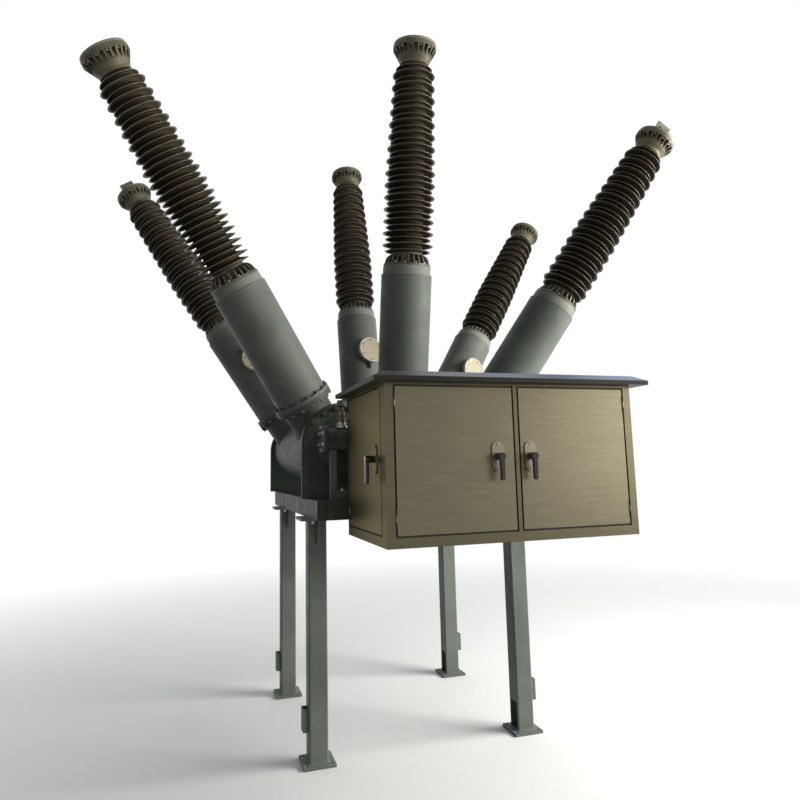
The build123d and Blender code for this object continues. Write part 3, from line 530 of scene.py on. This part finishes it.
def shed_outline():
    """Outline of a porcelain: at each shed a share of the way from core to rim, and a height above the
    shed's foot. The core narrows evenly; the rims keep their size below and narrow over the upper part."""
    number = np.arange(SHEDS)
    length = PORCELAIN_HIGH - PORCELAIN_LOW
    foot = PORCELAIN_LOW + (number + 0.25) * length / SHEDS
    share = (foot - PORCELAIN_LOW) / length
    core = CORE_LOW - CORE_NARROWS * share
    narrowing = np.clip((share - NARROW_FROM) / (1 - NARROW_FROM), 0, 1)
    edge = RIM_LOW - RIM_NARROWS * narrowing - SMALL_SHED * ((number + 1) % 2)
    radius = core[:, None] + (edge - core)[:, None] * SHED_STEP[:, 0]
    height = foot[:, None] + SHED_STEP[:, 1]
    out = np.broadcast_to(SHED_STEP[:, 0], radius.shape)
    ends = np.array([[0.0925, PORCELAIN_LOW, 0]]), np.array([[0.0838, PORCELAIN_HIGH, 0]])
    middle = np.stack([radius.reshape(-1), height.reshape(-1), out.reshape(-1)], axis=-1)
    return np.concatenate([ends[0], middle, ends[1]])


brown_glaze, tree, shader = new_finish("brown_glaze", 0.16)
way_out = tree.nodes.new("ShaderNodeAttribute")
way_out.attribute_name = "way_out"
edge = way_out.outputs["Fac"]
tone = blended(tree, between(tree, speckle(tree, 9), 0.35, 0.7), GLAZE, GLAZE_PALE)
tone = blended(tree, between(tree, speckle(tree, 130, detail=3), 0.6, 0.72, 0, 0.4), tone, GLAZE_SPECK)
# A paler brown on the rims of the sheds is a painted highlight.
tone = blended(tree, between(tree, edge, 0.975, 1, 0, 0.6), tone, GLAZE_RIM_HIGHLIGHT)
tree.links.new(tone, shader.inputs["Base Color"])
tree.links.new(between(tree, edge, 0.70, 0.99, 0.0, 0.50), shader.inputs["Specular IOR Level"])
tree.links.new(between(tree, edge, 0.90, 0.99, 0.45, 0.14), shader.inputs["Roughness"])
raised(tree, shader, speckle(tree, 70, detail=2), 0.05, 0.0012)

profile = shed_outline()
shape = set_on(turned(profile[:, :2], SHED_COLUMNS), seats, axes)
share_out = np.repeat(profile[:, 2], SHED_COLUMNS).astype(np.float32)
for name, row in (("front_porcelains", -1), ("rear_porcelains", 1)):
    piece = fit_piece(name + "_glazed", shape[bushing_row == row], brown_glaze, sharp=80)
    mark = piece.data.attributes.new("way_out", "FLOAT", "POINT")
    mark.data.foreach_set("value", np.tile(share_out, 3))
    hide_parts(name)

# Caps: cast aluminium heads cemented on the porcelains, flaring to a wide rim with a bolt in every
# other pocket under it, and a paler machined lid. Two of them carry a flat terminal pad with four holes.
CAP_GREY = (0.132, 0.114, 0.068, 1)
LID_GREY = (0.27, 0.258, 0.205, 1)
LID_DARK = (0.18, 0.172, 0.135, 1)
PAD_TIN = (0.150, 0.138, 0.108, 1)
PAD_TIN_DULL = (0.105, 0.098, 0.078, 1)
CAP_RING, CAP_RIM, CAP_BOLT = 0.1165, 2.424, 0.015
dress(sand_cast("cast_cap", CAP_GREY, CAST_DARK), "bushing_caps")
cap_bolts = ring_of_bolts(seats, axes, CAP_RING, np.arange(12) * pi / 6, CAP_RIM, -1, across=CAP_BOLT)
fit_piece("cap_bolts", cap_bolts, zinc)
lid_metal = sand_cast("lid_metal", LID_GREY, LID_DARK)
hoop = turned([(0.120, 2.4475), (0.1274, 2.4475), (0.1274, 2.4615), (0.1250, 2.4638), (0.120, 2.4638)], 96)
fit_piece("cap_hoops", set_on(hoop, seats, axes), lid_metal, ring=True)
dress(plated_steel("pad_tin", PAD_TIN, PAD_TIN_DULL, 0.5), "terminal_pads")

# Operating cabinet: folded stainless sheet on a welded frame, brushed level, hung on the frame's front
# channel, with rubber strips round its door openings. Its roof has an upright edge below the slopes, written
# near black as painted shade.
# The stainless tones here and below, the roof's too, are written far darker than bare steel, and the
# cabinet's and doors' warm: a painted reflection of a dim, warm hall. The low-angle tint is a painted warm
# reflection too.
STEEL = (0.098, 0.089, 0.056, 1)
STEEL_DARK = (0.078, 0.070, 0.044, 1)
WARM_REFLECTION_TINT = (0.70, 0.62, 0.42, 1)
ROOF_STEEL = (0.105, 0.104, 0.100, 1)
ROOF_STEEL_DARK = (0.080, 0.078, 0.074, 1)
# Towards the right the roof's steel turns blue and less metallic: a painted reflection of a blue sky.
ROOF_SKY_REFLECTION, SKY_REFLECTION_FROM, SKY_REFLECTION_TO = (0.215, 0.300, 0.435, 1), -0.45, 0.70
ROOF_EDGE_SHADE, EDGE_TOP = (0.024, 0.024, 0.020, 1), 1.898
BRUSHED_LEVEL = (0.006, 0.006, 2.0)
BRUSHED_ACROSS = (0.006, 2.0, 2.0)


def brushed_sheet(name, light, dark, stretch, rim=(1, 1, 1, 1)):
    """Brushed stainless sheet: fine lines drawn out along the brushing, in tone, gloss and relief, and
    broader strokes over them, about 150 mm long and 12 mm high, that are a little brighter. The rim colour
    tints what the sheet mirrors when seen at a low angle."""
    material, tree, shader = new_finish(name, 0.34, 0.75)
    shader.inputs["Specular Tint"].default_value = rim
    lines = speckle(tree, 420, stretch, detail=5, rough=0.6)
    broad = speckle(tree, 1.6, detail=2)
    strokes = speckle(tree, 40, tuple(0.16 if s < 1 else 2.0 for s in stretch), detail=3)
    bright = tuple(1.35 * c for c in light[:3]) + (1,)
    tone = blended(tree, between(tree, lines, 0.36, 0.66), light, dark)
    tone = blended(tree, between(tree, broad, 0.35, 0.75, 0, 0.6), tone, dark)
    tone = blended(tree, between(tree, strokes, 0.45, 0.75, 0, 0.28), tone, bright)
    tree.links.new(tone, shader.inputs["Base Color"])
    tree.links.new(between(tree, lines, 0.3, 0.7, 0.29, 0.39), shader.inputs["Roughness"])
    raised(tree, shader, lines, 0.06, 0.0002)
    raised(tree, shader, speckle(tree, 3, detail=2), 0.05, 0.004)
    return material


cabinet_steel = brushed_sheet("cabinet_steel", STEEL, STEEL_DARK, BRUSHED_LEVEL, WARM_REFLECTION_TINT)
dress(cabinet_steel, "cabinet_floor", "cabinet_back_wall", "cabinet_right_wall", "cabinet_posts",
      "cabinet_rails")

roof_steel = brushed_sheet("roof_steel", ROOF_STEEL, ROOF_STEEL_DARK, BRUSHED_ACROSS)
dress(roof_steel, "cabinet_roof")
tree = roof_steel.node_tree
shader = tree.nodes["Principled BSDF"]
shader.inputs["Specular IOR Level"].default_value = 0.1
place = tree.nodes.new("ShaderNodeTexCoord")
along = tree.nodes.new("ShaderNodeSeparateXYZ")
tree.links.new(place.outputs["Object"], along.inputs[0])
# The blue towards the right, with less metal, is a painted reflection of a blue sky.
sky_reflection = between(tree, along.outputs["X"], SKY_REFLECTION_FROM, SKY_REFLECTION_TO, 0, 0.8)
# The upright edge below the slopes is written near black as painted shade.
slope = between(tree, along.outputs["Z"], EDGE_TOP - 0.0005, EDGE_TOP + 0.0005)
bare = shader.inputs["Base Color"].links[0].from_socket
tone = blended(tree, slope, ROOF_EDGE_SHADE, blended(tree, sky_reflection, bare, ROOF_SKY_REFLECTION))
tree.links.new(tone, shader.inputs["Base Color"])
tree.links.new(between(tree, along.outputs["X"], SKY_REFLECTION_FROM, SKY_REFLECTION_TO, 0.75, 0.0), shader.inputs["Metallic"])

DOOR_GAP = 0.008
SEAL_CLEAR, SEAL_IN, SEAL_DEPTH, SEAL_WIDE = 0.0003, 0.009, 0.010, 0.0068
OPENINGS = (("x", -0.452, 0.111), ("x", 0.129, 0.692), ("y", -1.464, -0.887))
cabinet_left, cabinet_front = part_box("cabinet_posts")[0][:2]
opening_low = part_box("front_left_door")[0][2] - DOOR_GAP
opening_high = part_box("front_left_door")[1][2] + DOOR_GAP


def seal_strip(kind, low, high):
    """Rubber strip round a door opening: a small rectangle carried round the opening's four corners."""
    flat = np.array([(low, opening_low), (high, opening_low), (high, opening_high), (low, opening_high)])
    into = np.array([(1, 1), (-1, 1), (-1, -1), (1, -1)])
    depths = np.array([SEAL_IN, SEAL_IN, SEAL_IN + SEAL_DEPTH, SEAL_IN + SEAL_DEPTH])
    insets = np.array([SEAL_CLEAR, SEAL_WIDE, SEAL_WIDE, SEAL_CLEAR])
    corner = flat[:, None] + into[:, None] * insets[None, :, None]
    deep = np.broadcast_to(depths, (4, 4))
    if kind == "x":
        return np.stack([corner[..., 0], cabinet_front + deep, corner[..., 1]], axis=-1)
    return np.stack([cabinet_left + deep, corner[::-1, :, 0], corner[::-1, :, 1]], axis=-1)


strips = np.array([seal_strip(*opening) for opening in OPENINGS])
fit_piece("door_seals", strips, gasket_rubber, ring=True)

# Doors: folded stainless sheet pans flush with the cabinet's face, brushed level like it. They hang on
# plain steel pins in the gaps beside them, whose steel is written near black as painted shade in the gaps.
# The doors' steel is written dark and warm, a painted reflection of a dim, warm hall.
DOOR_STEEL = (0.134, 0.120, 0.081, 1)
DOOR_STEEL_DARK = (0.105, 0.094, 0.063, 1)
PIN_STEEL_SHADED = (0.032, 0.030, 0.024, 1)
PIN_STEEL_SHADED_DULL = (0.022, 0.020, 0.017, 1)
door_steel = brushed_sheet("door_steel", DOOR_STEEL, DOOR_STEEL_DARK, BRUSHED_LEVEL, WARM_REFLECTION_TINT)
dress(door_steel, "front_left_door", "front_right_door", "side_door")
dress(plated_steel("hinge_steel", PIN_STEEL_SHADED, PIN_STEEL_SHADED_DULL, 0.6), "hinge_pins")

# Handles: stainless plates with round ends, each screwed to its door with two screws, and a glossy black
# lever on a hub that turns over the plate and hangs down when shut.
# The plates' steel is written dark and warm like the doors', a painted reflection.
PLATE_STEEL = (0.172, 0.156, 0.112, 1)
PLATE_STEEL_DARK = (0.146, 0.132, 0.094, 1)
LEVER_BLACK = (0.010, 0.011, 0.008, 1)
LEVER_WORN = (0.018, 0.019, 0.015, 1)
PLATE_T, SCREW_RISE, PLATE_SCREW, PLATE_SCREW_HEAD = 0.006, 0.052, 0.008, 0.003
plate_steel = brushed_sheet("plate_steel", PLATE_STEEL, PLATE_STEEL_DARK, BRUSHED_LEVEL, WARM_REFLECTION_TINT)
dress(plate_steel, "front_left_handle_plate", "front_right_handle_plate", "side_handle_plate")
lever_black, tree, shader = new_finish("lever_metal", 0.12)
tree.links.new(blended(tree, speckle(tree, 60), LEVER_BLACK, LEVER_WORN), shader.inputs["Base Color"])
shader.inputs["Specular IOR Level"].default_value = 0.45
raised(tree, shader, speckle(tree, 500, detail=2), 0.05, 0.0003)
dress(lever_black, "front_left_handle", "front_right_handle", "side_handle")
for side, out in (("front_left", (0, -1, 0)), ("front_right", (0, -1, 0)), ("side", (-1, 0, 0))):
    middle = np.array(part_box(side + "_handle_plate")).mean(axis=0)
    face = middle + PLATE_T / 2 * np.array(out)
    spots = face + np.array([(0, 0, SCREW_RISE), (0, 0, -SCREW_RISE)])
    screws = bolt_points(spots, out, PLATE_SCREW, PLATE_SCREW_HEAD)
    fit_piece(side + "_plate_screws", screws, zinc, side + "_door")

# Studio: a pale floor that runs out into a white surround, which lights most from behind and from the
# right; a broad soft lamp from the right, a lower one from the right of the camera, and a camera at eye
# height before the cabinet's left corner.
FADE_FROM, FADE_TO, FLOOR_HALF = 1.2, 6.5, 30
FLOOR_PALE, FLOOR_PALER = (0.86, 0.86, 0.85, 1), (0.90, 0.90, 0.89, 1)
FLOOR_LIGHTING = (0.42, 0.42, 0.41, 1)
SKY_TONE, WHITE = (0.93, 0.97, 1.0, 1), (1, 1, 1, 1)
DIM_SIDE, BRIGHT_SIDE, BEHIND = 0.07, 0.40, 0.70
LAMP_TARGET = (0, -0.2, 1.8)
LAMPS = (("key_lamp", (4.6, -2.1, 2.9), 3.0, 430, (1.0, 0.98, 0.94)),
         ("front_lamp", (7.0, -8.2, 2.4), 3.6, 260, (1.0, 0.97, 0.92)))


def seen_share(tree):
    """One for rays from the camera, from reflections and through glass, and zero for rays that light."""
    ray = tree.nodes.new("ShaderNodeLightPath")
    seen = ray.outputs["Is Camera Ray"]
    for kind in ("Is Glossy Ray", "Is Transmission Ray"):
        larger = tree.nodes.new("ShaderNodeMath")
        larger.operation = "MAXIMUM"
        tree.links.new(seen, larger.inputs[0])
        tree.links.new(ray.outputs[kind], larger.inputs[1])
        seen = larger.outputs[0]
    return seen


def show_white(tree, kind, share, plain, output):
    """White of strength one mixed over a plain shader by a share, carried to the tree's output."""
    white = tree.nodes.new(kind)
    white.inputs["Color"].default_value = WHITE
    white.inputs["Strength"].default_value = 1.0
    choice = tree.nodes.new("ShaderNodeMixShader")
    tree.links.new(share, choice.inputs[0])
    tree.links.new(plain.outputs[0], choice.inputs[1])
    tree.links.new(white.outputs[0], choice.inputs[2])
    tree.links.new(choice.outputs[0], tree.nodes[output].inputs[0])


floor_finish, tree, shader = new_finish("floor_finish", 0.9)
seen = seen_share(tree)
pale = blended(tree, speckle(tree, 2), FLOOR_PALE, FLOOR_PALER)
tree.links.new(blended(tree, seen, FLOOR_LIGHTING, pale), shader.inputs["Base Color"])
place = tree.nodes.new("ShaderNodeTexCoord")
far = tree.nodes.new("ShaderNodeVectorMath")
far.operation = "LENGTH"
tree.links.new(place.outputs["Object"], far.inputs[0])
fade = tree.nodes.new("ShaderNodeMath")
fade.operation = "MULTIPLY"
tree.links.new(between(tree, far.outputs["Value"], FADE_FROM, FADE_TO), fade.inputs[0])
tree.links.new(seen, fade.inputs[1])
show_white(tree, "ShaderNodeEmission", fade.outputs[0], shader, "Material Output")
corners = [(x * FLOOR_HALF, y * FLOOR_HALF, 0) for x, y in ((-1, -1), (1, -1), (1, 1), (-1, 1))]
floor_mesh = bpy.data.meshes.new("floor")
floor_mesh.from_pydata(corners, [], [(0, 1, 2, 3)])
floor_mesh.materials.append(floor_finish)
floor = bpy.data.objects.new("floor", floor_mesh)
bpy.context.scene.collection.objects.link(floor)

world = bpy.data.worlds.new("surround")
bpy.context.scene.world = world
world.use_nodes = True
tree = world.node_tree
sky = tree.nodes["Background"]
sky.inputs["Color"].default_value = SKY_TONE
place = tree.nodes.new("ShaderNodeTexCoord")
along = tree.nodes.new("ShaderNodeSeparateXYZ")
tree.links.new(place.outputs["Generated"], along.inputs[0])
total = tree.nodes.new("ShaderNodeMath")
tree.links.new(between(tree, along.outputs["X"], -0.9, 0.9, DIM_SIDE, BRIGHT_SIDE), total.inputs[0])
tree.links.new(between(tree, along.outputs["Y"], 0.1, 0.9, 0, BEHIND), total.inputs[1])
tree.links.new(total.outputs[0], sky.inputs["Strength"])
show_white(tree, "ShaderNodeBackground", seen_share(tree), sky, "World Output")


def aim(place, target):
    """Placement of a lamp: its -Z looks from its place to a target."""
    back = np.array(place, dtype=float) - np.array(target, dtype=float)
    back /= np.linalg.norm(back)
    side = np.cross((0, 0, 1), back)
    side /= np.linalg.norm(side)
    matrix = np.eye(4)
    matrix[:3, :3] = np.stack([side, np.cross(back, side), back], axis=-1)
    matrix[:3, 3] = place
    return Matrix(matrix.tolist())


for name, place, size, watts, colour in LAMPS:
    data = bpy.data.lights.new(name, "AREA")
    data.size = size
    data.energy = watts
    data.color = colour
    lamp = bpy.data.objects.new(name, data)
    lamp.matrix_world = aim(place, LAMP_TARGET)
    bpy.context.scene.collection.objects.link(lamp)

EYE, YAW, PITCH, ROLL = (-1.2552, -4.0794, 1.5198), 0.3045, 0.1352, -0.0230
FOCUS_PX, MIDDLE_PX, PICTURE_PX, SENSOR = 637.3, (391.8, 380.7), 800, 36.0
right = np.array([cos(YAW), -sin(YAW), 0])
ahead = np.array([sin(YAW) * cos(PITCH), cos(YAW) * cos(PITCH), sin(PITCH)])
above = np.cross(right, ahead)
camera_data = bpy.data.cameras.new("camera")
camera_data.sensor_width = SENSOR
camera_data.lens = FOCUS_PX * SENSOR / PICTURE_PX
camera_data.shift_x = (PICTURE_PX / 2 - MIDDLE_PX[0]) / PICTURE_PX
camera_data.shift_y = (MIDDLE_PX[1] - PICTURE_PX / 2) / PICTURE_PX
camera = bpy.data.objects.new("camera", camera_data)
stance = np.eye(4)
stance[:3, 0] = cos(ROLL) * right + sin(ROLL) * above
stance[:3, 1] = cos(ROLL) * above - sin(ROLL) * right
stance[:3, 2] = -ahead
stance[:3, 3] = EYE
camera.matrix_world = Matrix(stance.tolist())
bpy.context.scene.collection.objects.link(camera)
bpy.context.scene.camera = camera
bpy.context.scene.view_settings.view_transform = "Standard"
